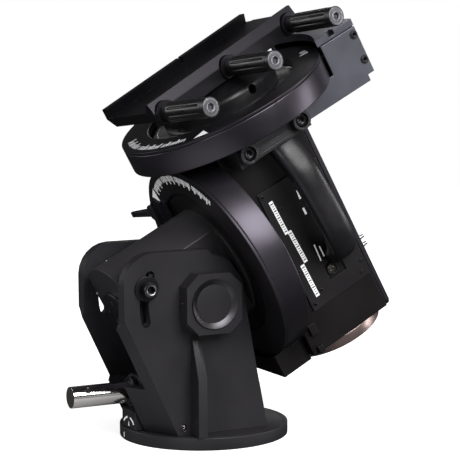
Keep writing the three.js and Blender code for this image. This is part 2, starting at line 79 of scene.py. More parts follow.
joints = {joint["name"]: joint for joint in frame["joints"]}
RA_DIRECTION = Vector(joints["ra_turn"]["axis"]).normalized()
DEC_DIRECTION = Vector(joints["dec_turn"]["axis"]).normalized()
SIDE = DEC_DIRECTION.cross(RA_DIRECTION)
AXES_CROSS = Vector(joints["ra_turn"]["pos_m"])
JAW_OUT = Vector(joints["jaw_slide"]["axis"]).normalized()

WORLD = Matrix.Identity(4)
HEAD = frame_from(AXES_CROSS, RA_DIRECTION, SIDE, DEC_DIRECTION)
RA = frame_from(AXES_CROSS, SIDE, DEC_DIRECTION, RA_DIRECTION)
SADDLE = frame_from(
    Vector(joints["dec_turn"]["pos_m"]),
    (-JAW_OUT).cross(DEC_DIRECTION),
    -JAW_OUT,
    DEC_DIRECTION,
)


def pointing(to):
    """The turn that takes Z along to."""
    return Vector(to).to_track_quat("Z", "Y").to_matrix().to_4x4()


def facing(base, at, to):
    """A frame at a point of the base frame, in millimetres, with its Z along to."""
    return base @ Matrix.Translation(Vector(at) * MM) @ pointing(to)


def span(node, place):
    """Lowest and highest corner of a CAD node in a local frame, in millimetres."""
    inverse = place.inverted()
    points = [inverse @ v.co / MM for v in frame["nodes"][node].data.vertices]
    low = Vector([min(p[i] for p in points) for i in range(3)])
    high = Vector([max(p[i] for p in points) for i in range(3)])
    return low, high


def outward(node, sign):
    """Inner and outer distance of a side piece from the middle plane, in millimetres."""
    low, high = span(node, WORLD)
    return (low.y, high.y) if sign > 0 else (-high.y, -low.y)


# ---- camera, light, floor

CAMERA_AT = (-1.0508, -2.1501, 0.5374)
CAMERA_RIGHT = (0.890903, -0.454123, -0.007975)
CAMERA_UP = (0.055939, 0.092283, 0.994160)
CAMERA_BACK = (-0.450735, -0.886147, 0.107618)
LENS = 138.85
SENSOR = 36
FLOOR_R = 4
FLOOR_SIDES = 64
FLOOR_GLOW = (0.76, 1.0)
FLOOR_GLOW_FROM, FLOOR_GLOW_TO = 0.12, 0.42
FLOOR_SEEN_BY_MOUNT = 0.06
BRIGHT_FLOOR = 0.85
BRIGHT_FLOOR_AT = (-0.36, -0.32, 0)
BRIGHT_FLOOR_FROM, BRIGHT_FLOOR_TO = 0.18, 0.5
WORLD_SEEN = 1.0
WORLD_LIGHT = 0.055
LIT_POINT = (0.03, 0, 0.3)


def make_camera():
    data = bpy.data.cameras.new("camera")
    data.lens = LENS
    data.sensor_width = SENSOR
    camera = bpy.data.objects.new("camera", data)
    bpy.context.collection.objects.link(camera)
    camera.matrix_world = frame_from(
        Vector(CAMERA_AT), Vector(CAMERA_RIGHT), Vector(CAMERA_UP), Vector(CAMERA_BACK)
    )
    bpy.context.scene.camera = camera


def softbox(name, at, width, height, power, colour=(1, 1, 1), target=LIT_POINT):
    """A rectangular lamp turned to its target, with its power in watts."""
    data = bpy.data.lights.new(name, "AREA")
    data.shape = "RECTANGLE"
    data.size = width
    data.size_y = height
    data.energy = power
    data.color = colour
    lamp = bpy.data.objects.new(name, data)
    bpy.context.collection.objects.link(lamp)
    lamp.location = at
    lamp.rotation_euler = (Vector(target) - Vector(at)).to_track_quat("-Z", "Y").to_euler()


def make_world():
    """White behind the object, and a dim room for everything that it reflects."""
    world = bpy.data.worlds.new("studio")
    world.use_nodes = True
    tree = world.node_tree
    background = tree.nodes["Background"]
    path = add_node(tree, "ShaderNodeLightPath")
    strength = add_node(tree, "ShaderNodeMapRange", {"To Min": WORLD_LIGHT, "To Max": WORLD_SEEN})
    tree.links.new(path.outputs["Is Camera Ray"], strength.inputs["Value"])
    tree.links.new(strength.outputs["Result"], background.inputs["Strength"])
    background.inputs["Color"].default_value = (1, 1, 1, 1)
    bpy.context.scene.world = world


def make_floor():
    """A pale floor: near white to the camera with a soft contact shadow. What the mount
    reflects of it is dark, but for a bright patch in front of the latitude shaft."""
    bm = bmesh.new()
    angles = [i * TAU / FLOOR_SIDES for i in range(FLOOR_SIDES)]
    bm.faces.new([bm.verts.new((FLOOR_R * math.cos(a), FLOOR_R * math.sin(a), 0)) for a in angles])
    mesh = bpy.data.meshes.new("floor")
    bm.to_mesh(mesh)
    bm.free()
    floor = bpy.data.objects.new("floor", mesh)
    bpy.context.collection.objects.link(floor)
    material, tree, shader = node_material("pale_floor", {
        "Base Color": (0.8, 0.8, 0.81, 1), "Roughness": 0.9, "Specular IOR Level": 0.0,
        "Emission Color": (1, 1, 1, 1)})
    link = tree.links.new
    distance = add_node(tree, "ShaderNodeVectorMath", operation="LENGTH")
    place = add_node(tree, "ShaderNodeNewGeometry").outputs["Position"]
    link(place, distance.inputs[0])
    glow = mapped(tree, distance.outputs["Value"], *FLOOR_GLOW, FLOOR_GLOW_FROM, FLOOR_GLOW_TO)
    link(glow, shader.inputs["Emission Strength"])
    dark = add_node(tree, "ShaderNodeBsdfDiffuse")
    patch = add_node(tree, "ShaderNodeVectorMath", {1: BRIGHT_FLOOR_AT}, operation="DISTANCE")
    link(place, patch.inputs[0])
    tone = mapped(tree, patch.outputs["Value"], BRIGHT_FLOOR, FLOOR_SEEN_BY_MOUNT,
                  BRIGHT_FLOOR_FROM, BRIGHT_FLOOR_TO)
    link(tone, dark.inputs["Color"])
    blend = add_node(tree, "ShaderNodeMixShader")
    link(add_node(tree, "ShaderNodeLightPath").outputs["Is Camera Ray"], blend.inputs["Fac"])
    link(dark.outputs["BSDF"], blend.inputs[1])
    link(shader.outputs["BSDF"], blend.inputs[2])
    link(blend.outputs["Shader"], tree.nodes["Material Output"].inputs["Surface"])
    mesh.materials.append(material)


def make_lights():
    softbox("key_front", (0.2, -1.8, 1.55), 1.5, 1.25, 58)
    softbox("rim_right", (1.9, -0.85, 0.62), 0.6, 1.1, 14)
    softbox("back_right", (1.05, 1.5, 1.25), 0.6, 0.6, 3.4)
    softbox("fill_left", (-2.2, -1.5, 0.9), 0.6, 1.4, 16, (0.97, 0.97, 1))
    softbox("fill_back", (-1.9, 1.5, 1.0), 0.9, 1.2, 15)
    softbox("low_card", (0.5, -1.15, 0.05), 0.7, 0.36, 0.3, target=(-0.1, 0, 0.1))


# ---- materials

def add_node(tree, kind, inputs=None, **settings):
    """A new shader node, with its settings and the values of its inputs."""
    node = tree.nodes.new(kind)
    for name, value in settings.items():
        setattr(node, name, value)
    for name, value in (inputs or {}).items():
        node.inputs[name].default_value = value
    return node


def node_material(name, inputs):
    """A material with these values on its Principled shader, its tree and that shader."""
    material = bpy.data.materials.new(name)
    material.use_nodes = True
    shader = material.node_tree.nodes["Principled BSDF"]
    for socket, value in inputs.items():
        shader.inputs[socket].default_value = value
    return material, material.node_tree, shader


def noise(tree, coordinates, scale, detail=2.0, stretch=(1, 1, 1)):
    """A noise texture in the piece's own coordinates, in waves per metre."""
    mapping = add_node(tree, "ShaderNodeMapping", {"Scale": stretch})
    texture = add_node(tree, "ShaderNodeTexNoise", {"Scale": scale, "Detail": detail})
    tree.links.new(coordinates, mapping.inputs["Vector"])
    tree.links.new(mapping.outputs["Vector"], texture.inputs["Vector"])
    return texture.outputs["Fac"]


def mapped(tree, value, low, high, start=0.3, end=0.7):
    """A value taken from start..end to low..high."""
    remap = add_node(tree, "ShaderNodeMapRange", {
        "From Min": start, "From Max": end, "To Min": low, "To Max": high})
    tree.links.new(value, remap.inputs["Value"])
    return remap.outputs["Result"]


def tint(tree, factor, one, two):
    """A colour between two others."""
    mix = add_node(tree, "ShaderNodeMix", data_type="RGBA")
    mix.inputs["A"].default_value = (*one, 1)
    mix.inputs["B"].default_value = (*two, 1)
    tree.links.new(factor, mix.inputs["Factor"])
    return mix


def finish(name, colour, roughness, metallic, grain=900, bump=0.05, depth=0.0002,
           blotch=14, variation=0.25, spread=0.08, specular=0.5, stretch=(1, 1, 1),
           anisotropy=0.0, edge_wear_and_highlight=None, turned=False, glow=0.0):
    """A metal or painted finish: mottled colour and roughness, a fine grain as bump,
    a slightly brighter tone on its edges where an edge colour is given, partly wear and
    partly a painted highlight, lathe marks round Z where turned is set, and a faint glow
    that keeps print readable in the shade."""
    material, tree, shader = node_material(name, {
        "Metallic": metallic, "Specular IOR Level": specular, "Anisotropic": anisotropy,
        "Emission Color": (1, 1, 1, 1), "Emission Strength": glow})
    link = tree.links.new
    place = add_node(tree, "ShaderNodeTexCoord").outputs["Object"]
    if turned:
        tangent = add_node(tree, "ShaderNodeTangent", direction_type="RADIAL", axis="Z")
        link(tangent.outputs["Tangent"], shader.inputs["Tangent"])

    large = noise(tree, place, blotch, 4.0)
    fine = noise(tree, place, grain, 2.0, stretch)

    darker = [c * (1 - variation) for c in colour]
    lighter = [c * (1 + variation) for c in colour]
    shade = tint(tree, mapped(tree, large, 0, 1), darker, lighter).outputs["Result"]
    # Edges made lighter by their pointiness: partly wear, partly a painted highlight.
    if edge_wear_and_highlight:
        edge = add_node(tree, "ShaderNodeNewGeometry").outputs["Pointiness"]
        wear_and_highlight = tint(tree, mapped(tree, edge, 0, 0.55, 0.52, 0.62), colour, edge_wear_and_highlight)
        link(shade, wear_and_highlight.inputs["A"])
        shade = wear_and_highlight.outputs["Result"]
    link(shade, shader.inputs["Base Color"])

    rough = add_node(tree, "ShaderNodeMath", operation="ADD")
    link(mapped(tree, large, roughness - spread, roughness + spread), rough.inputs[0])
    link(mapped(tree, fine, -0.03, 0.03), rough.inputs[1])
    link(rough.outputs[0], shader.inputs["Roughness"])

    bumps = add_node(tree, "ShaderNodeBump", {"Strength": bump, "Distance": depth})
    link(fine, bumps.inputs["Height"])
    link(bumps.outputs["Normal"], shader.inputs["Normal"])
    return material


def circuit_material():
    """Green solder mask with copper tracks as a coarse square pattern."""
    material, tree, shader = node_material("circuit_board", {"Roughness": 0.4})
    place = add_node(tree, "ShaderNodeTexCoord").outputs["Object"]
    tracks = add_node(tree, "ShaderNodeTexVoronoi", {"Scale": 160}, distance="CHEBYCHEV", feature="F1")
    tree.links.new(place, tracks.inputs["Vector"])
    pattern = mapped(tree, tracks.outputs["Distance"], 0, 1, 0.25, 0.3)
    colour = tint(tree, pattern, (0.008, 0.07, 0.025), (0.03, 0.18, 0.07))
    tree.links.new(colour.outputs["Result"], shader.inputs["Base Color"])
    return material


# Where an edge colour is given below, edges are drawn lighter: partly wear, partly a painted
# highlight.
CASTING = finish("textured_black_paint", (0.0150, 0.0135, 0.0165), 0.50, 0.0, grain=720,
                 bump=0.5, depth=0.0004, blotch=9, variation=0.2, specular=0.38)
BODY_BLACK = finish("satin_black_paint", (0.0062, 0.0050, 0.0054), 0.45, 0.0, grain=1500, bump=0.12,
                    blotch=10, variation=0.2, specular=0.22)
NECK_BLACK = finish("satin_black_neck", (0.026, 0.0235, 0.026), 0.42, 0.0, grain=1500, bump=0.08,
                    blotch=10, variation=0.15, specular=0.45, edge_wear_and_highlight=(0.07, 0.068, 0.074))
ANODISED = finish("black_anodised_aluminium", (0.056, 0.050, 0.062), 0.36, 0.88, grain=1100,
                  bump=0.06, blotch=12, variation=0.15, spread=0.05, edge_wear_and_highlight=(0.16, 0.15, 0.17))
JAW_BLACK = finish("black_anodised_clamp", (0.024, 0.022, 0.026), 0.38, 0.85, grain=1100,
                   bump=0.06, blotch=12, variation=0.15, spread=0.05)
PANEL_BLACK = finish("black_anodised_panel", (0.0125, 0.0110, 0.0122), 0.42, 0.0, grain=1100,
                     bump=0.06, blotch=12, variation=0.15, specular=0.3)
RING_BLACK = finish("black_anodised_face", (0.036, 0.032, 0.038), 0.42, 0.8, grain=1100,
                    bump=0.06, blotch=12, variation=0.15, spread=0.05)
SLATE = finish("slate_anodised_aluminium", (0.105, 0.108, 0.130), 0.42, 0.82, grain=1400,
               bump=0.08, blotch=16, variation=0.10, spread=0.05, edge_wear_and_highlight=(0.24, 0.24, 0.27))
HANDLE_BLACK = finish("moulded_black_handle", (0.010, 0.0088, 0.0105), 0.36, 0.0, grain=420,
                      bump=0.22, depth=0.0004, blotch=30, variation=0.2, specular=0.38)
CONE = finish("machined_cone", (0.075, 0.071, 0.078), 0.38, 1.0, grain=1500, bump=0.03, blotch=40,
              variation=0.05, spread=0.03)
KNOB_BLACK = finish("moulded_black_knob", (0.007, 0.007, 0.008), 0.34, 0.0, grain=1600,
                    bump=0.06, blotch=40, variation=0.2, specular=0.45)
SCREW_BLACK = finish("black_oxide_steel", (0.024, 0.023, 0.026), 0.32, 0.9, grain=1800,
                     bump=0.08, blotch=60, variation=0.25, edge_wear_and_highlight=(0.20, 0.20, 0.21))
CAP_GREY = finish("satin_grey_caps", (0.125, 0.122, 0.137), 0.40, 0.75, grain=1500, bump=0.08,
                  blotch=60, variation=0.10, edge_wear_and_highlight=(0.5, 0.5, 0.5))
CHROME = finish("polished_steel", (0.78, 0.75, 0.74), 0.10, 1.0, grain=700, bump=0.015,
                blotch=30, variation=0.04, spread=0.03)
STEEL = finish("machined_steel", (0.50, 0.50, 0.51), 0.32, 1.0, grain=1200, bump=0.08,
               blotch=40, variation=0.10)
WHEEL = finish("turned_wheel_metal", (0.74, 0.73, 0.74), 0.30, 1.0, grain=1500, bump=0.04,
               blotch=30, variation=0.05, anisotropy=0.85, turned=True)
BRASS = finish("machined_brass", (0.62, 0.47, 0.25), 0.30, 1.0, grain=1300, bump=0.06,
               blotch=30, variation=0.08)
END_BRONZE = finish("brushed_warm_plate", (0.33, 0.25, 0.235), 0.38, 0.9, grain=900, bump=0.08,
                    blotch=20, variation=0.12, stretch=(1, 14, 1))
PRINT = finish("white_print", (0.88, 0.88, 0.90), 0.55, 0.0, grain=1500, bump=0.02,
               blotch=200, variation=0.06, glow=0.22)
INK = finish("black_print", (0.03, 0.03, 0.03), 0.6, 0.0, grain=1500, bump=0.02,
             blotch=200, variation=0.1)
PORT_BLACK = finish("moulded_black_port", (0.006, 0.006, 0.007), 0.5, 0.0, grain=1500,
                    bump=0.05, blotch=90, variation=0.15)
BOARD = circuit_material()


# ---- mesh tools

def oblong(x0, x1, y0, y1):
    """Corners of a rectangle: an outline, or the profile of a plain rod or ring."""
    return [(x0, y0), (x1, y0), (x1, y1), (x0, y1)]


def circle(_angle, _height):
    return 1.0


def hexagon(angle, _height):
    """Radius of a hexagon with corners at 1."""
    return math.cos(math.pi / 6) / math.cos((angle % (TAU / 6)) - math.pi / 6)


def eased(points, radius, closed=False, steps=3):
    """The profile with each corner rounded."""
    result = []
    count = len(points)
    for i, point in enumerate(points):
        corner = Vector(point)
        if not closed and i in (0, count - 1):
            result.append(tuple(corner))
            continue
        before = Vector(points[i - 1]) - corner
        after = Vector(points[(i + 1) % count]) - corner
        reach = min(radius, before.length * 0.45, after.length * 0.45)
        start = corner + before.normalized() * reach
        end = corner + after.normalized() * reach
        for k in range(steps + 1):
            t = k / steps
            result.append(tuple(start * (1 - t) ** 2 + corner * 2 * t * (1 - t) + end * t ** 2))
    return result


class Piece:
    """A mesh drawn in millimetres in a local frame."""

    def __init__(self, name, place):
        self.name = name
        self.place = place
        self.bm = bmesh.new()

    def loft(self, rings, closed=False, at=Matrix.Identity(4)):
        """Joins rings of points, in order, with quads; open ends get a cap."""
        rows = []
        for ring in rings:
            if (Vector(ring[0]) - Vector(ring[len(ring) // 2])).length < 1e-6:
                rows.append([self.bm.verts.new(at @ Vector(ring[0]))])
            else:
                rows.append([self.bm.verts.new(at @ Vector(p)) for p in ring])
        pairs = list(zip(rows, rows[1:]))
        if closed:
            pairs.append((rows[-1], rows[0]))
        for one, two in pairs:
            self.bridge(one, two)
        if not closed:
            for row in (rows[0], rows[-1]):
                if len(row) > 2:
                    self.bm.faces.new(row)
        return self

    def bridge(self, one, two):
        count = max(len(one), len(two))
        for i in range(count):
            j = (i + 1) % count
            if len(one) == 1:
                self.bm.faces.new((one[0], two[j], two[i]))
            elif len(two) == 1:
                self.bm.faces.new((one[i], one[j], two[0]))
            else:
                self.bm.faces.new((one[i], one[j], two[j], two[i]))

    def turn(self, profile, closed=False, sides=96, at=Matrix.Identity(4)):
        """Turns a profile of (radius, height) or (radius, height, shape) about Z."""
        rings = []
        for entry in profile:
            radius, height = entry[:2]
            shape = entry[2] if len(entry) > 2 else circle
            ring = []
            for i in range(sides):
                angle = i * TAU / sides
                reach = radius * shape(angle, height)
                ring.append((reach * math.cos(angle), reach * math.sin(angle), height))
            rings.append(ring)
        return self.loft(rings, closed, at)

    def slab(self, outline, low, high, at=Matrix.Identity(4)):
        """An outline in X and Y, from low to high."""
        rings = [[(x, y, height) for x, y in outline] for height in (low, high)]
        return self.loft(rings, False, at)

    def plain(self):
        """Turns the drawing into an object with nothing on it yet."""
        bmesh.ops.recalc_face_normals(self.bm, faces=self.bm.faces)
        bmesh.ops.scale(self.bm, vec=(MM, MM, MM), verts=self.bm.verts)
        mesh = bpy.data.meshes.new(self.name)
        self.bm.to_mesh(mesh)
        self.bm.free()
        piece = bpy.data.objects.new(self.name, mesh)
        bpy.context.collection.objects.link(piece)
        piece.matrix_world = self.place
        return piece

    def done(self, material, body, slot, replaces=(), bevel=0.0, smooth=38):
        """Turns the drawing into a finished object that rides on its body."""
        dress(self.plain(), material, body, replaces, bevel, smooth)


def dress(piece, material, body, replaces=(), bevel=0.0, smooth=38):
    """Material, edge bevels and shading of a new piece, and the body that carries it."""
    mesh = piece.data
    mesh.materials.clear()
    mesh.materials.append(material)
    mesh.shade_smooth()
    if bevel:
        add_bevel(piece, bevel)
    else:
        mesh.set_sharp_from_angle(angle=math.radians(smooth))
    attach(piece, body)
    if replaces:
        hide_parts(*replaces)


def add_bevel(piece, width, segments=3):
    bevel = piece.modifiers.new("edges", "BEVEL")
    bevel.width = width * MM
    bevel.segments = segments
    bevel.limit_method = "ANGLE"
    bevel.angle_limit = math.radians(28)
    bevel.use_clamp_overlap = True
    bevel.miter_outer = "MITER_ARC"
    bevel.harden_normals = False
    weighted = piece.modifiers.new("flat_faces", "WEIGHTED_NORMAL")
    weighted.weight = 80
    weighted.keep_sharp = True


def smoothing_group():
    """Geometry nodes that drop the imported normals and shade faces smooth."""
    group = bpy.data.node_groups.new("fresh_normals", "GeometryNodeTree")
    group.interface.new_socket("Geometry", in_out="INPUT", socket_type="NodeSocketGeometry")
    group.interface.new_socket("Geometry", in_out="OUTPUT", socket_type="NodeSocketGeometry")
    nodes, links = group.nodes, group.links
    start = nodes.new("NodeGroupInput")
    remove = nodes.new("GeometryNodeRemoveAttribute")
    remove.inputs["Name"].default_value = "custom_normal"
    smooth = nodes.new("GeometryNodeSetShadeSmooth")
    sharp = nodes.new("GeometryNodeSetShadeSmooth")
    sharp.domain = "EDGE"
    sharp.inputs["Shade Smooth"].default_value = True
    end = nodes.new("NodeGroupOutput")
    links.new(start.outputs[0], remove.inputs["Geometry"])
    links.new(remove.outputs["Geometry"], sharp.inputs["Geometry"])
    links.new(sharp.outputs["Geometry"], smooth.inputs["Geometry"])
    links.new(smooth.outputs["Geometry"], end.inputs[0])
    return group


FRESH_NORMALS = smoothing_group()


def polish(node, material, bevel=1.0):
    """A CAD node that stays: merged facets, rounded edges and a better material."""
    piece = frame["nodes"][node]
    piece.data.materials.clear()
    piece.data.materials.append(material)
    weld = piece.modifiers.new("weld", "WELD")
    weld.merge_threshold = 0.00001
    merge = piece.modifiers.new("merge_flat", "DECIMATE")
    merge.decimate_type = "DISSOLVE"
    merge.angle_limit = math.radians(0.7)
    normals = piece.modifiers.new("fresh_normals", "NODES")
    normals.node_group = FRESH_NORMALS
    add_bevel(piece, bevel)


def carve(piece, cutters, operation="DIFFERENCE"):
    """Cuts the cutters out of a piece, joins them to it or keeps what lies inside them,
    and removes them."""
    for cutter in cutters:
        step = piece.modifiers.new("cut", "BOOLEAN")
        step.operation = operation
        step.solver = "EXACT"
        step.object = cutter
    bpy.context.view_layer.update()
    depsgraph = bpy.context.evaluated_depsgraph_get()
    mesh = bpy.data.meshes.new_from_object(piece.evaluated_get(depsgraph))
    piece.modifiers.clear()
    piece.data = mesh
    for cutter in cutters:
        bpy.data.objects.remove(cutter)


def drill(place, radius, low, high, sides=64):
    """A plain round cutter."""
    return Piece("cutter", place).turn(oblong(0, radius, low, high), sides=sides).plain()


def block_tool(place, low, high):
    """A plain box cutter between two corners."""
    outline = oblong(low[0], high[0], low[1], high[1])
    return Piece("cutter", place).slab(outline, low[2], high[2]).plain()


def ring_of_seats(count, radius, level):
    """Screw places spread evenly round Z."""
    angles = [(i + 0.5) * TAU / count for i in range(count)]
    return [(radius * math.cos(a), radius * math.sin(a), level) for a in angles]


def socket_head(radius, top, socket, depth, edge=0.6):
    """Profile of a cap screw's head with a hexagon socket, standing on its seat."""
    outer = eased([(0, 0), (radius, 0), (radius, top), (socket * 1.25, top)], edge)
    inner = [
        (socket * 1.08, top - 0.25),
        (socket, top - 0.6, hexagon),
        (socket, top - depth, hexagon),
        (socket * 0.5, top - depth - 0.5, hexagon),
        (0, top - depth - 0.8),
    ]
    return outer + inner


def screws(name, base, places, to, size, body, depth=None, material=None, slot="black_screws"):
    """Several equal screws as one piece. places are their seats in the base frame, and
    size is the head's radius, its height and the radius of its socket."""
    group = Piece(name, base)
    radius, height, socket = size
    profile = socket_head(radius, height, socket, depth or height * 0.8)
    for place in places:
        group.turn(profile, sides=36, at=Matrix.Translation(Vector(place)) @ pointing(to))
    group.done(material or SCREW_BLACK, body, slot)


# ---- base and fork

BASE_R, _, BASE_H = span("base_disc", WORLD)[1]
GROOVE_R = BASE_R - 6
GROOVE_DEEP = 0.5
PIVOT = Vector(joints["latitude_tilt"]["pos_m"]) / MM
LOCK = Vector(joints["latitude_lock_near_turn"]["pos_m"]) / MM
SHAFT_Z = Vector(joints["latitude_worm_turn"]["pos_m"]).z / MM
SIDES = (("near", -1), ("far", 1))
BAR_HOLE_IN = 21
BAR_HOLE_R = 4.5
BOSS_HALF = 40
BOSS_DISH = 4.6
PRINT_T = 0.15


def make_base():
    """The round base with a fine groove near its edge, and the azimuth mark on its rim."""
    profile = eased(oblong(0, BASE_R, 0, BASE_H), 1.4)
    bottom = BASE_H - GROOVE_DEEP
    profile[-1:-1] = [(GROOVE_R + 0.5, BASE_H), (GROOVE_R + 0.3, bottom), (GROOVE_R - 0.3, bottom),
                      (GROOVE_R - 0.5, BASE_H)]
    Piece("base_plate", WORLD).turn(profile, sides=192).done(
        CASTING, "base", "black_casting", ["base_disc"])
    polish("azimuth_stud", STEEL, 0.8)
    polish("azimuth_peg", STEEL, 1.0)

    mark = Piece("azimuth_mark", WORLD)
    turn = Matrix.Rotation(math.radians(175), 4, "Z") @ Matrix.Translation((BASE_R - 0.02, 0, 3.5))
    mark.slab(oblong(0, PRINT_T, -1.0, 1.0), 0, 7, turn)
    mark.done(PRINT, "base", "black_casting")


def make_fork():
    for side, sign in SIDES:
        polish(f"fork_{side}", CASTING, 1.3)
        make_boss_details(side, sign, outward(f"fork_{side}", sign)[1])
    polish("fork_floor", CASTING, 1.0)
    polish("worm_block", CASTING, 1.0)
    make_pointer(span("worm_block", WORLD)[0].x)


def make_pointer(face):
    """Printed on the worm block: a pointer to the base, between two arcs."""
    place = frame_from(
        Vector((face, 0, 0)) * MM, Vector((0, -1, 0)), Vector((0, 0, 1)), Vector((-1, 0, 0)))
    marks = Piece("azimuth_pointer", place)

    def arc(wide, tall, angles):
        return [(wide * math.cos(a), 15 + tall * math.sin(a)) for a in angles]

    for direction in (-1, 1):
        sweep = [math.radians(90 + direction * (12 + 3.4 * i)) for i in range(14)]
        marks.slab(arc(21, 18.5, sweep) + arc(18.2, 16, reversed(sweep)), 0, PRINT_T)
    marks.slab([(-1.8, 20.5), (1.8, 20.5), (0, 27.5)], 0, PRINT_T)
    marks.done(PRINT, "fork", "black_casting")


def make_boss_details(side, sign, outer):
    """The machined cone and cap in the latitude boss, and its small set screw."""
    boss = facing(WORLD, (PIVOT.x, sign * (outer - BOSS_DISH), PIVOT.z), (0, sign, 0))
    cone = [(25.5, 0.05), (32.95, BOSS_DISH - 0.02), (32.95, BOSS_DISH + 0.12),
            (32.6, BOSS_DISH + 0.12), (25.2, 0.4)]
    Piece(f"boss_cone_{side}", boss).turn(cone, closed=True, sides=160).done(
        CONE, "fork", "black_casting")
    cap = Piece(f"boss_cap_{side}", boss)
    cap.turn(eased(oblong(0, 25.3, 0.05, 0.7), 0.3), sides=120)
    cap.done(CASTING, "fork", "black_casting")
    seats = [(PIVOT.x - BOSS_HALF, sign * (outer - 16), PIVOT.z + 1)]
    screws(f"boss_set_screw_{side}", WORLD, seats, (-1, 0, 0), (3.4, 1.2, 1.8), "fork", depth=1.0)


def threaded(radius, depth, pitch, start, end, core=None, steps=6):
    """Profile rows of a screw thread or worm along Z, with plain ends."""
    def wave(angle, height):
        phase = (height / pitch - angle / TAU) % 1.0
        ridge = min(1.0, max(0.0, 2.2 * (1 - abs(2 * phase - 1)) - 0.6))
        return 1 - depth / radius * (1 - ridge)

    rows = [(core or radius - depth, start)]
    count = max(2, round((end - start) / pitch * steps))
    for i in range(count + 1):
        rows.append((radius, start + (end - start) * i / count, wave))
    rows.append((core or radius - depth, end))
    return rows


def make_latitude_drive():
    low, high = span("latitude_shaft", WORLD)
    radius = high.y
    length = high.x - low.x
    place = facing(WORLD, (high.x, 0, SHAFT_Z), (-1, 0, 0))
    profile = eased([(0, 0), (radius, 0), (radius, length - 0.2), (radius - 2.2, length),
                     (0, length)], 0.5)
    shaft = Piece("adjuster_shaft", place).turn(profile, sides=128).plain()
    hole_way = Matrix.Rotation(math.radians(-40), 3, "X") @ Vector((0, 1, 0))
    hole = facing(WORLD, (low.x + BAR_HOLE_IN, 0, SHAFT_Z), hole_way)
    carve(shaft, [drill(hole, BAR_HOLE_R, -30, 30)])
    dress(shaft, CHROME, "latitude_drive", ["latitude_shaft"], bevel=0.35)

    low, high = span("worm_shaft_flange", WORLD)
    place = facing(WORLD, (high.x, 0, SHAFT_Z), (-1, 0, 0))
    thick = high.x - low.x
    ring = eased(oblong(15, high.y, 0, thick), 0.9, closed=True)
    Piece("shaft_bearing_ring", place).turn(ring, closed=True).done(
        ANODISED, "fork", "black_anodised", ["worm_shaft_flange"])
    seats = [(low.x, 17.6 * math.cos(a), SHAFT_Z + 17.6 * math.sin(a))
             for a in [TAU / 8 + i * TAU / 4 for i in range(4)]]
    screws("bearing_ring_screws", WORLD, seats, (-1, 0, 0), (1.9, 0.9, 1.0), "fork", depth=0.7)

    low, high = span("latitude_worm", WORLD)
    place = facing(WORLD, (low.x, 0, SHAFT_Z), (1, 0, 0))
    length = high.x - low.x
    worm = [(0, 0), (9, 0), (9, 4), (8.5, 5)]
    worm += threaded(high.y, 2.6, 7.5, 6, length - 4, core=8.5, steps=14)
    worm += [(9, length - 3), (9, length), (0, length)]
    Piece("latitude_worm_thread", place).turn(worm, sides=48).done(
        BRASS, "latitude_drive", "wheel_metal", ["latitude_worm"], smooth=50)


def make_fork_screws():
    for side, sign in SIDES:
        inner, reach = outward(f"latitude_lock_{side}", sign)
        place = facing(WORLD, (LOCK.x, 0, LOCK.z), (0, sign, 0))
        head = reach - 13.4

        def knurl(angle, _height):
            return 1 - 0.025 * (0.5 + 0.5 * math.cos(60 * angle))

        rows = [(0, inner), (5.8, inner), (5.8, head), (9.4, head), (10, head + 0.8, knurl),
                (10, reach - 2.2, knurl), (9.7, reach - 1.6), (9.7, reach - 0.7), (9, reach),
                (6.6, reach), (5.7, reach - 0.4), (5.3, reach - 0.8, hexagon),
                (5.3, reach - 7, hexagon), (0, reach - 7.6)]
        Piece(f"latitude_lock_screw_{side}", place).turn(rows, sides=240).done(
            SCREW_BLACK, f"lock_{side}", "black_screws", [f"latitude_lock_{side}"])
        glint = [(5.75, reach - 0.35), (6.55, reach - 0.02), (6.55, reach + 0.04),
                 (5.75, reach - 0.2)]
        Piece(f"latitude_socket_edge_{side}", place).turn(glint, closed=True, sides=72).done(
            STEEL, f"lock_{side}", "black_screws")
        low, high = span(f"lock_washer_{side}", WORLD)
        wide = (high.z - low.z) / 2
        one, two = outward(f"lock_washer_{side}", sign)
        washer = eased(oblong(6.2, wide, one, two), 0.9, closed=True)
        Piece(f"latitude_washer_{side}", place).turn(washer, closed=True, sides=120).done(
            JAW_BLACK, f"lock_{side}", "black_screws", [f"lock_washer_{side}"])

        low, high = span(f"azimuth_screw_{side}", WORLD)
        one, two = outward(f"azimuth_screw_{side}", sign)
        place = facing(WORLD, ((low.x + high.x) / 2, 0, (low.z + high.z) / 2), (0, sign, 0))
        rows = [(0, one), (3, one), (3.6, one + 1)]
        rows += threaded(4.5, 0.5, 1.5, one + 3, two - 2, core=3.8, steps=8)
        rows += [(4.2, two - 0.6), (3.8, two), (2.7, two), (2.4, two - 0.4, hexagon),
                 (2.4, two - 5, hexagon), (0, two - 5.4)]
        Piece(f"azimuth_push_screw_{side}", place).turn(rows, sides=36).done(
            CHROME, f"azimuth_screw_{side}", "chrome", [f"azimuth_screw_{side}"], smooth=50)


# ---- neck

DRUM_SCREW = (2.4, 1.0, 1.3)
WHEEL_TEETH = 288
SECTOR_TEETH = 30
SECTOR_STEPS = 8
SECTOR_R = 112.4
SECTOR_IN = 102.5
SECTOR_FROM = math.radians(234)
SECTOR_TO = math.radians(288)


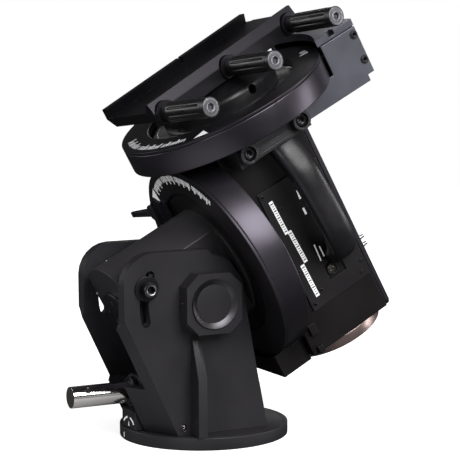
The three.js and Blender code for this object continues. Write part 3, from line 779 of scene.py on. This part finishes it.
def make_wheel(name, place, node, bore, body):
    """A worm wheel with fine hollow teeth and turned steps on both faces."""
    low, high = span(node, place)
    radius = high.x

    def teeth(angle, _height):
        return 1 - 0.9 / radius * (0.5 - 0.5 * math.cos(WHEEL_TEETH * angle))

    one, two = low.z, high.z
    rim = [(radius - 4, one), (radius, one + 2, teeth), (radius - 0.7, (one + two) / 2, teeth),
           (radius, two - 2, teeth), (radius - 4, two)]
    groove = [(radius - 9, two), (radius - 9.4, two - 0.4), (radius - 10.2, two - 0.4),
              (radius - 10.6, two)]
    hub = [(bore + 12, two), (bore + 11.4, two - 0.8), (bore, two - 0.8)]
    rows = [(bore, one)] + rim + groove + hub
    Piece(name, place).turn(rows, closed=True, sides=WHEEL_TEETH * 4).done(
        WHEEL, body, "wheel_metal", [node])


def make_neck():
    polish("neck_drum", NECK_BLACK, 1.2)
    low, high = span("neck_end_cap", RA)
    cap = facing(RA, (0, 0, high.z), (0, 0, -1))
    tall = high.z - low.z
    rows = eased([(0, 0), (high.x, 0), (high.x, tall), (20, tall), (20, tall - 1.2),
                  (12, tall - 1.2), (12, tall - 0.4), (0, tall - 0.4)], 0.8)
    Piece("drum_end_cap", cap).turn(rows, sides=128).done(
        ANODISED, "neck", "black_anodised", ["neck_end_cap"])
    screws("end_cap_screws", RA, ring_of_seats(6, 34, low.z), (0, 0, -1), (3.2, 1.6, 1.7), "neck")

    drum_end = span("neck_drum", HEAD)[0].x
    seats = [(drum_end, sign * 52.4, h) for sign in (-1, 1) for h in (-22, 12, 40)]
    screws("drum_rim_screws", HEAD, seats, (-1, 0, 0), DRUM_SCREW, "neck", None, STEEL, "steel")
    for side, sign in SIDES:
        seats = [(a, sign * 57, h) for a, h in ((-250, 44), (-222, 52), (-250, -8))]
        screws(f"drum_side_screws_{side}", HEAD, seats, (0, sign, 0), DRUM_SCREW, "neck", None,
               STEEL, "steel")

    for name in ("front", "rear"):
        make_bearing(f"ra_bearing_{name}_rings", RA, f"ra_bearing_{name}", 30.5, "neck")
    make_wheel("ra_worm_wheel_toothed", RA, "ra_worm_wheel", 34, "neck")
    wheel_face = span("ra_worm_wheel", RA)[0].z
    # A flat black ring laid over the RA worm wheel's face, so that the wheel shows dark there.
    black_ring = eased(oblong(84.3, 107.5, wheel_face - 0.1, wheel_face - 1.6), 0.4, closed=True)
    Piece("ra_wheel_black_ring", RA).turn(black_ring, closed=True, sides=200).done(
        BODY_BLACK, "neck", "black_casting")
    for side, sign in SIDES:
        one, two = outward(f"latitude_pin_{side}", sign)
        radius = span(f"latitude_pin_{side}", WORLD)[1].x - PIVOT.x
        place = facing(WORLD, (PIVOT.x, 0, PIVOT.z), (0, sign, 0))
        rows = eased(oblong(0, radius, one, two), 1.2)
        Piece(f"latitude_trunnion_{side}", place).turn(rows).done(
            STEEL, "neck", "steel", [f"latitude_pin_{side}"])
    make_sector()


def make_bearing(name, place, node, bore, body):
    """Outer ring, inner ring and a shield between them, drawn as one turned section."""
    low, high = span(node, place)
    outer = high.x
    third = (outer - bore) / 3
    dip = 0.9
    one, two = low.z, high.z
    rows = [(bore, one), (bore + third, one), (bore + third, one + dip),
            (outer - third, one + dip), (outer - third, one), (outer, one), (outer, two),
            (outer - third, two), (outer - third, two - dip), (bore + third, two - dip),
            (bore + third, two), (bore, two)]
    Piece(name, place).turn(eased(rows, 0.3, closed=True, steps=2), closed=True).done(
        STEEL, body, "steel", [node])


def make_sector():
    """The toothed arc under the drum that the latitude worm drives."""
    low, high = span("latitude_sector", WORLD)
    place = facing(WORLD, (PIVOT.x, 0, PIVOT.z), (0, -1, 0))
    points = []
    count = SECTOR_TEETH * SECTOR_STEPS
    first, last = SECTOR_FROM, SECTOR_TO
    for i in range(count + 1):
        angle = first + (last - first) * i / count
        tooth = (0.5 + 0.5 * math.cos(i * TAU / SECTOR_STEPS)) ** 1.5
        reach = SECTOR_R - 1.8 * tooth
        points.append((reach * math.cos(angle), reach * math.sin(angle)))
    inner = [(SECTOR_IN * math.cos(a), SECTOR_IN * math.sin(a))
             for a in [last + (first - last) * i / 60 for i in range(61)]]
    toothed = Piece("latitude_rack", place).slab(points + inner, low.y, high.y)
    toothed.done(BRASS, "neck", "wheel_metal", ["latitude_sector"], bevel=0.3)


# ---- head: the RA side

SCALE_T = 0.12
TICK_GROUP = 13
LONG_EVERY = 4
LONG_TICK = (13.0, 1.15)
SHORT_TICK = (8.5, 0.8)
INDEX_SIZE = 19.0


def tick_arc(name, place, radius, angles, height):
    """Printed scale ticks on a turned face, pointing inwards from radius, with every
    thirteenth one left out."""
    ticks = Piece(name, place)
    for i, angle in enumerate(angles):
        if i % TICK_GROUP == TICK_GROUP - 1:
            continue
        tall, half = SHORT_TICK if i % LONG_EVERY else LONG_TICK
        turn = Matrix.Rotation(math.radians(angle), 4, "Z")
        ticks.slab(oblong(radius - tall, radius, -half, half), height, height + SCALE_T, turn)
    ticks.done(PRINT, "head", "black_anodised")


def triangle_mark(name, place, radius, angle, height):
    """An index triangle whose tip points inwards."""
    turn = Matrix.Rotation(math.radians(angle), 4, "Z")
    base, half = radius + INDEX_SIZE * 0.5, INDEX_SIZE * 0.55
    outline = [(base, -half), (base, half), (radius - INDEX_SIZE * 0.5, 0)]
    Piece(name, place).slab(outline, height, height + SCALE_T, turn).done(
        PRINT, "head", "black_anodised")


CAVITY_R = 119


def make_cup(name, node, place, bore, depth, slot_box):
    """A shallow cup round a worm wheel, with the worm's slot cut into it. depth is the
    part of its height that is hollow. Gives the cup's radius."""
    low, high = span(node, place)
    radius = high.x
    back, front = (high.z, low.z) if place is RA else (low.z, high.z)
    floor = front + (back - front) * depth
    rows = [(CAVITY_R, front), (radius, front), (radius, back), (bore, back), (bore, floor),
            (CAVITY_R, floor)]
    cup = Piece(name, place).turn(eased(rows, 1.6, closed=True), closed=True, sides=240).plain()
    carve(cup, [block_tool(HEAD, *slot_box)])
    dress(cup, ANODISED, "head", [node])
    return radius


def make_ra_side():
    radius = make_cup("ra_wheel_cup", "ra_cup", RA, 30.6, 0.68,
                      ((-110.5, -48, -160), (-91, 42, -90)))
    low, high = span("ra_face_ring", RA)
    rows = [(108, high.z), (radius, high.z), (radius, low.z), (111, low.z), (108, low.z + 1.2)]
    Piece("ra_cover_ring", RA).turn(eased(rows, 0.7, closed=True), closed=True, sides=240).done(
        RING_BLACK, "head", "black_anodised", ["ra_face_ring"])

    polish("ra_box", BODY_BLACK, 1.5)
    make_motor("ra_stepper_motor", "ra_motor")
    make_worm("ra_worm_thread", "ra_worm", "ra_worm")
    polish("ra_shaft", STEEL, 1.0)


def make_motor(name, node):
    """A round stepper motor lying across the head, with end bells."""
    low, high = span(node, HEAD)
    radius = (high.z - low.z) / 2
    centre = ((low.x + high.x) / 2, low.y, (low.z + high.z) / 2)
    long = high.y - low.y
    place = facing(HEAD, centre, (0, 1, 0))
    rows = [(0, 0), (radius, 0), (radius, long * 0.22), (radius - 0.6, long * 0.23),
            (radius - 0.6, long * 0.77), (radius, long * 0.78), (radius, long), (0, long)]
    Piece(name, place).turn(eased(rows, 0.5), sides=64).done(STEEL, "head", "steel", [node])


def make_worm(name, node, body):
    low, high = span(node, HEAD)
    radius = (high.z - low.z) / 2
    long = high.y - low.y
    place = facing(HEAD, ((low.x + high.x) / 2, low.y, (low.z + high.z) / 2), (0, 1, 0))
    rows = [(0, 0), (4.5, 0), (4.5, long * 0.25), (radius - 1.6, long * 0.27)]
    rows += threaded(radius, 1.1, 2.36, long * 0.29, long * 0.71, steps=8)
    rows += [(radius - 1.6, long * 0.73), (4.5, long * 0.75), (4.5, long), (0, long)]
    Piece(name, place).turn(rows, sides=40).done(STEEL, body, "steel", [node], smooth=50)


# ---- head: the Dec side

def make_dec_side():
    radius = make_cup("dec_wheel_cup", "dec_cup", HEAD, 34, 0.665,
                      ((90, -45, 168), (160, 45, 190.5)))
    low, high = span("dec_face_ring", HEAD)
    seam = high.z - 4
    rows = [(108, low.z), (110.4, low.z), (110.4, seam), (radius, seam), (radius, high.z),
            (109.5, high.z), (108, high.z - 0.8)]
    Piece("dec_cover_ring", HEAD).turn(eased(rows, 0.9, closed=True), closed=True, sides=240).done(
        RING_BLACK, "head", "black_anodised", ["dec_face_ring"])
    polish("dec_box", SLATE, 1.0)
    polish("dec_box_lid", SLATE, 1.0)
    make_motor("dec_stepper_motor", "dec_motor")
    make_worm("dec_worm_thread", "dec_worm", "dec_worm")
    for name in ("low", "high"):
        make_bearing(f"dec_bearing_{name}_rings", HEAD, f"dec_bearing_{name}", 24.4, "head")

    polish("dec_body", BODY_BLACK, 1.6)
    polish("north_cover", ANODISED, 0.8)
    low, high = span("end_plate", HEAD)
    place = facing(HEAD, (0, 0, high.z), (0, 0, -1))
    tall = high.z - low.z
    rows = eased([(0, 0), (high.x, 0), (high.x, tall), (52, tall), (50, tall - 1.5), (26, tall - 1.5),
                  (24, tall - 0.5), (0, tall - 0.5)], 1.0)
    Piece("dec_end_plate", place).turn(rows, sides=160).done(
        END_BRONZE, "head", "end_bronze", ["end_plate"])
    screws("end_plate_screws", HEAD, ring_of_seats(8, 61, low.z), (0, 0, -1), (3.0, 0.8, 1.6),
           "head", depth=0.6)
    polish("circuit_board", BOARD, 0.2)


# ---- handle, bracket and panel

HANDLE_PATH = [(12, -90, 123.4), (13, -101, 104), (15, -111, 76), (17, -115, 34), (20, -114, -6),
               (23, -105, -34), (26, -89, -50), (29, -66, -60)]
HANDLE_DEEP = 14
HANDLE_WIDE = 21
HANDLE_SQUARE = 0.78
HANDLE_SIDES = 48
BRACKET_BACK = -104
BRACKET_HOLES = (-45, 43)
BRACKET_HOLE_H = 140
LUG_R = 13.4
LUG_FOOT = -90
COUNTERBORE_R = 9.6
COUNTERBORE_FLOOR = -106


def curve_points(points, per_span):
    """A smooth curve through the points."""
    known = [Vector(p) for p in points]
    known = [known[0] * 2 - known[1]] + known + [known[-1] * 2 - known[-2]]
    result = []
    for i in range(1, len(known) - 2):
        a, b, c, d = known[i - 1:i + 3]
        for k in range(per_span):
            t = k / per_span
            result.append(0.5 * (2 * b + (c - a) * t + (2 * a - 5 * b + 4 * c - d) * t ** 2
                                 + (3 * b - a - 3 * c + d) * t ** 3))
    return result + [known[-2]]


def make_handle():
    path = curve_points(HANDLE_PATH, 12)
    rings = []
    last = len(path) - 1
    for i, point in enumerate(path):
        along = (path[min(i + 1, last)] - path[max(i - 1, 0)]).normalized()
        wide = Vector((1, 0, 0)) - along * along.x
        wide.normalize()
        deep = along.cross(wide)
        ring = []
        for k in range(HANDLE_SIDES):
            angle = k * TAU / HANDLE_SIDES
            c, s = math.cos(angle), math.sin(angle)
            x = HANDLE_WIDE * math.copysign(abs(c) ** HANDLE_SQUARE, c)
            y = HANDLE_DEEP * math.copysign(abs(s) ** HANDLE_SQUARE, s)
            ring.append(point + wide * x + deep * y)
        rings.append(ring)
    grip = Piece("carry_handle", HEAD).loft(rings).plain()
    high = span("handle", HEAD)[1]
    carve(grip, [block_tool(HEAD, (-100, -200, -200), (100, high.y, high.z))], "INTERSECT")
    dress(grip, HANDLE_BLACK, "head", ["handle"])


def make_bracket():
    low, high = span("handle_bracket", HEAD)
    plan = [(low.x, high.y), (low.x, BRACKET_BACK), (high.x, BRACKET_BACK), (high.x, high.y)]
    bar = Piece("handle_bracket_bar", HEAD).slab(plan, low.z, high.z).plain()
    lugs = []
    for a in BRACKET_HOLES:
        place = facing(HEAD, (a, LUG_FOOT, BRACKET_HOLE_H), (0, -1, 0))
        tall = LUG_FOOT - low.y
        rows = eased(oblong(0, LUG_R, 0, tall), 1.2)
        lugs.append(Piece("lug", place).turn(rows, sides=96).plain())
    carve(bar, lugs, "UNION")
    holes = []
    for a in BRACKET_HOLES:
        place = facing(HEAD, (a, COUNTERBORE_FLOOR, BRACKET_HOLE_H), (0, -1, 0))
        holes.append(drill(place, COUNTERBORE_R, 0, 20, sides=96))
    carve(bar, holes)
    dress(bar, CASTING, "head", ["handle_bracket"], bevel=0.8)
    for side, a in zip(("left", "right"), BRACKET_HOLES):
        place = facing(HEAD, (a, COUNTERBORE_FLOOR - GAP, BRACKET_HOLE_H), (0, -1, 0))
        rows = socket_head(8, 6.7, 4.2, 4.2)
        Piece(f"bracket_bolt_{side}", place).turn(rows, sides=72).done(
            SCREW_BLACK, "head", "steel", [f"bracket_screw_{side}"])


# Places on the port panel, across and up its face.
PANEL_SCREWS = [(-39, 66), (-21.4, 38.2), (-39.8, -50.5), (-20.5, -91.7), (-38.2, -104),
                (52.8, -89.3), (46.2, -103.1)]
LABEL_STRIPS = [((-31, 55), (-29.6, 3.7), 6.2), ((-25, 5.7), (-22.7, -45), 6.2),
                ((-30, -45.4), (-29, -96), 6.2)]
SMALL_STRIPS = [((11.9, 48), (10.6, 35), 3.2), ((8.2, 22), (8.4, 12), 3.2),
                ((-1, -31), (-2, -56), 1.8), ((5, -37), (5, -53), 1.8)]
LABEL_BARS = 13
LABEL_T = 0.14
JACK = (8.2, -75.0)
CLIPS = ((-63.6, -53, -140, -123), (-64, -55, -168, -157))
CLIP_BACK, CLIP_FRONT = -69.9, -75


def strip_piece(name, place, strips, height, material):
    """Flat strips on the panel, each from one point to another with its width."""
    piece = Piece(name, place)
    for (x0, y0), (x1, y1), wide in strips:
        along = Vector((x1 - x0, y1 - y0)).normalized()
        side = Vector((-along.y, along.x)) * wide / 2
        start, end = Vector((x0, y0)), Vector((x1, y1))
        outline = [tuple(start - side), tuple(end - side), tuple(end + side), tuple(start + side)]
        piece.slab(outline, height, height + LABEL_T)
    piece.done(material, "head", "black_anodised")


def make_panel():
    face = span("port_panel", HEAD)[0].y
    polish("port_panel", PANEL_BLACK, 0.35)
    origin = HEAD @ (Vector((0, face, 0)) * MM)
    flat = frame_from(origin, HEAD.col[0].xyz, HEAD.col[2].xyz, -HEAD.col[1].xyz)
    seats = [(a, face, h) for a, h in PANEL_SCREWS]
    screws("panel_screws", HEAD, seats, (0, -1, 0), (2.6, 1.2, 1.4), "head")
    strip_piece("label_strips", flat, LABEL_STRIPS, 0, PRINT)
    marks = []
    for (x0, y0), (x1, y1), wide in LABEL_STRIPS:
        for i in range(LABEL_BARS):
            t = 0.08 + 0.84 * i / (LABEL_BARS - 1)
            x, y = x0 + (x1 - x0) * t, y0 + (y1 - y0) * t
            half = wide * (0.28 if i % 3 else 0.36)
            marks.append(((x - half, y), (x + half, y), 0.9 if i % 3 else 1.5))
    strip_piece("label_marks", flat, marks, LABEL_T, INK)
    strip_piece("small_strips", flat, SMALL_STRIPS, 0, PRINT)
    make_jack()
    blocks = Piece("cable_clips", HEAD)
    for left, right, low, high in CLIPS:
        blocks.slab(oblong(left, right, CLIP_BACK, CLIP_FRONT), low, high)
    blocks.done(BODY_BLACK, "head", "black_casting", bevel=0.8)


def make_jack():
    """A round socket in the recess beside the handle, with a key and its contacts."""
    a, h = JACK
    place = facing(HEAD, (a, -70.1, h), (0, -1, 0))
    rim = eased(oblong(6.9, 8.1, 0, 1.8), 0.25, closed=True)
    Piece("hand_control_jack_rim", place).turn(rim, closed=True, sides=72).done(
        SCREW_BLACK, "head", "black_anodised")
    Piece("hand_control_jack", place).turn(oblong(0, 6.88, 0, 0.3), sides=72).done(
        PORT_BLACK, "head", "black_anodised")
    contacts = Piece("jack_contacts", place)
    for i in range(5):
        angle = TAU * (i + 0.5) / 8
        lift = Matrix.Translation((3 * math.cos(angle), 3 * math.sin(angle), 0))
        contacts.turn([(0, 0.4), (0.5, 0.4), (0.5, 1.1), (0, 1.3)], sides=12, at=lift)
    contacts.done(BRASS, "head", "wheel_metal")
    rail = Piece("jack_key", place)
    rail.slab([(-5.6, 3.8), (-0.6, 5.9), (-0.9, 6.6), (-5.9, 4.5)], 1.7, 1.95)
    rail.done(STEEL, "head", "steel")


def make_small_head_screws():
    seats = [(185.4, -76, 189.5), (185, -76, 152)]
    screws("box_face_screws", HEAD, seats, (0, -1, 0), (4.6, 1.5, 2.3), "head", depth=1.3)
    rings = Piece("box_face_washers", HEAD)
    for seat in seats:
        rings.turn(oblong(4.8, 6.4, 0, 0.25), closed=True, sides=48,
                   at=Matrix.Translation(Vector(seat)) @ pointing((0, -1, 0)))
    rings.done(PORT_BLACK, "head", "black_screws")
    for name, angles, place, node, level in (
            ("dec_rim_screws", (211, 272, 304, 150, 90, 30), HEAD, "dec_cup", 187),
            ("ra_rim_screws", (182, 243, 300, 120, 60, 0), RA, "ra_cup", -107)):
        seat = span(node, place)[1].x - 0.95
        group = Piece(name, place)
        for angle in angles:
            c, s = math.cos(math.radians(angle)), math.sin(math.radians(angle))
            at = Matrix.Translation((seat * c, seat * s, level)) @ pointing((c, s, 0))
            group.turn(socket_head(2.3, 1.0, 1.2, 0.8, edge=0.3), sides=36, at=at)
        group.done(SCREW_BLACK, "head", "black_screws")


# ---- scales, switches, connectors

RA_TICKS = 52


def make_scales():
    """Printed scales: two stretches and an index on the Dec cover, one on the RA cover."""
    face = span("dec_face_ring", HEAD)[1].z
    tick_arc("dec_scale", HEAD, 138, [157 + 1.75 * i for i in range(36)], face)
    tick_arc("dec_scale_end", HEAD, 136, [342 + 2.4 * i for i in range(4)], face)
    triangle_mark("dec_index", HEAD, 132, 229.5, face)
    front = facing(RA, (0, 0, span("ra_face_ring", RA)[0].z), (0, 0, -1))
    side_way = (front.inverted() @ HEAD).to_3x3()

    def angle_of(b, h):
        """Where a place on the head lies round the cover, in degrees."""
        v = side_way @ Vector((0, b, h))
        return math.degrees(math.atan2(v.y, v.x))

    start = angle_of(80, 113)
    end = angle_of(-76, 84)
    turn = ((end - start + 180) % 360) - 180
    tick_arc("ra_scale", front, 139, [start + turn * i / RA_TICKS for i in range(RA_TICKS)], 0)
    triangle_mark("ra_index", front, 131, angle_of(88, 98), 0)


def make_switches():
    polish("ra_gear_switch", ANODISED, 1.0)
    polish("dec_gear_switch", ANODISED, 1.2)
    make_switch_ribs()


def make_switch_ribs():
    """A foot beside the RA switch's hub with three ribs for the fingers."""
    axis = (HEAD.inverted() @ Vector(joints["ra_gear_switch_turn"]["pos_m"])) / MM
    foot = span("ra_face_ring", HEAD)[0].x - 0.4
    top = foot - 4
    tip = foot - 14
    ribs = Piece("ra_switch_ribs", HEAD)
    ribs.slab(oblong(foot, top, 62, 88), axis.z - 14, axis.z + 14)
    root = top - 0.2
    for b in (64, 74, 84):
        outline = [(root, b - 1.6), (root, b + 1.6), (tip, b + 0.9), (tip, b - 0.9)]
        ribs.slab(outline, axis.z - 18, axis.z + 18)
    ribs.done(ANODISED, "ra_gear_switch", "black_anodised", bevel=0.6)


def make_connectors():
    cover = span("north_cover", HEAD)[1].x
    rows = eased([(0, 0), (3.1, 0), (3.1, 2), (2.5, 2.2), (2.5, 7), (1.6, 7), (1.4, 4), (0, 4)], 0.3)
    for i, h in enumerate((-62.5, -73.8)):
        place = facing(HEAD, (cover, -66.5, h), (1, 0, 0))
        Piece(f"cover_connector_{i + 1}", place).turn(rows, sides=40).done(STEEL, "head", "steel")
    seats = [(cover, b, h) for b in (-60, 60) for h in (-155, -60, 40, 140)]
    screws("north_cover_screws", HEAD, seats, (1, 0, 0), (2.8, 1.4, 1.5), "head")


# ---- saddle, jaw and knobs

SADDLE_FLOOR = 52
SADDLE_SLOTS = ((60, 71.5), (76, 85.5), (-59, -48), (-44, -34))
JAW_FACE = 56.3
FLUTES = 8


def make_hub():
    low, high = span("saddle_hub", HEAD)
    rows = [(0, low.z), (84, low.z), (84, 206), (82, 210), (74, 215.5), (62, 219.5), (50, 222),
            (43, 222.5), (43, high.z), (0, high.z)]
    hub = Piece("saddle_hub_dome", HEAD).turn(eased(rows, 3.0, steps=5), sides=192).plain()
    way = Matrix.Rotation(math.radians(9), 3, "Z") @ Vector((0, -1, 0))
    place = facing(HEAD, (0, 0, 203), way)
    carve(hub, [drill(place, 6.5, 60, 100)])
    dress(hub, KNOB_BLACK, "saddle", ["saddle_hub"], bevel=0.5)
    make_wheel("dec_worm_wheel_toothed", HEAD, "dec_worm_wheel", 24.4, "saddle")
    polish("dec_shaft", STEEL, 1.0)


def make_saddle():
    make_hub()
    polish("saddle_plate", JAW_BLACK, 0.8)
    # Flat black strips on the saddle floor where its slots lie: painted shade for the dark inside the
    # slots.
    slot_shade = Piece("saddle_slot_shade_strips", SADDLE)
    for start, end in SADDLE_SLOTS:
        slot_shade.slab(oblong(start, end, 13, 15.4), SADDLE_FLOOR + 0.02, SADDLE_FLOOR + 0.06)
    slot_shade.done(PORT_BLACK, "saddle", "black_anodised")
    polish("saddle_jaw", JAW_BLACK, 0.7)
    for name in ("left", "middle", "right"):
        make_knob(name)


def make_knob(name):
    """A fluted clamp knob with a raised rim, and a grey cap with a hexagon socket."""
    low, high = span(f"clamp_knob_{name}", SADDLE)
    cap_low, cap_high = span(f"knob_cap_{name}", SADDLE)
    x, z = (cap_low.x + cap_high.x) / 2, (cap_low.z + cap_high.z) / 2
    place = facing(SADDLE, (x, 0, z), (0, -1, 0))
    inner, outer = -high.y, -low.y

    def fluted(depth):
        return lambda angle, _height: 1 - depth * max(0.0, math.cos(FLUTES * angle)) ** 2.2

    soft_flutes, flutes = fluted(0.05), fluted(0.115)

    grip = (high.z - low.z) / 2
    rows = [(0, inner), (2.8, inner), (3.2, inner + 0.8), (3.2, JAW_FACE), (grip - 2.6, JAW_FACE),
            (grip - 2, JAW_FACE + 0.6), (grip - 1.6, JAW_FACE + 9), (grip - 0.5, JAW_FACE + 11),
            (grip, JAW_FACE + 13), (grip, JAW_FACE + 15, soft_flutes), (grip, JAW_FACE + 18, flutes),
            (grip, outer - 7, flutes), (grip, outer - 5), (grip - 0.4, outer - 0.2), (grip - 1, outer),
            (0, outer)]
    Piece(f"fluted_knob_{name}", place).turn(rows, sides=128).done(
        KNOB_BLACK, f"knob_{name}", "gloss_black", [f"clamp_knob_{name}"])
    one, two = -cap_high.y, -cap_low.y
    rim = eased(oblong(12.3, grip, one, two - 0.1), 0.9, closed=True)
    Piece(f"knob_rim_{name}", place).turn(rim, closed=True, sides=96).done(
        KNOB_BLACK, f"knob_{name}", "gloss_black")
    rows = eased([(0, one), (12.2, one), (12.2, two), (8.4, two)], 0.7)
    rows += [(8.1, two - 0.35), (7.5, two - 0.35), (7.2, two), (5.6, two), (5.1, two - 0.5, hexagon),
             (5, two - 3.9, hexagon), (0, two - 4.4)]
    Piece(f"knob_end_{name}", place).turn(rows, sides=72).done(
        CAP_GREY, f"knob_{name}", "cap_grey", [f"knob_cap_{name}"])


make_camera()
bpy.context.scene.view_settings.view_transform = "Standard"
make_world()
make_floor()
make_lights()
make_base()
make_fork()
make_latitude_drive()
make_fork_screws()
make_neck()
make_ra_side()
make_dec_side()
make_handle()
make_bracket()
make_panel()
make_small_head_screws()
make_scales()
make_switches()
make_connectors()
make_saddle()
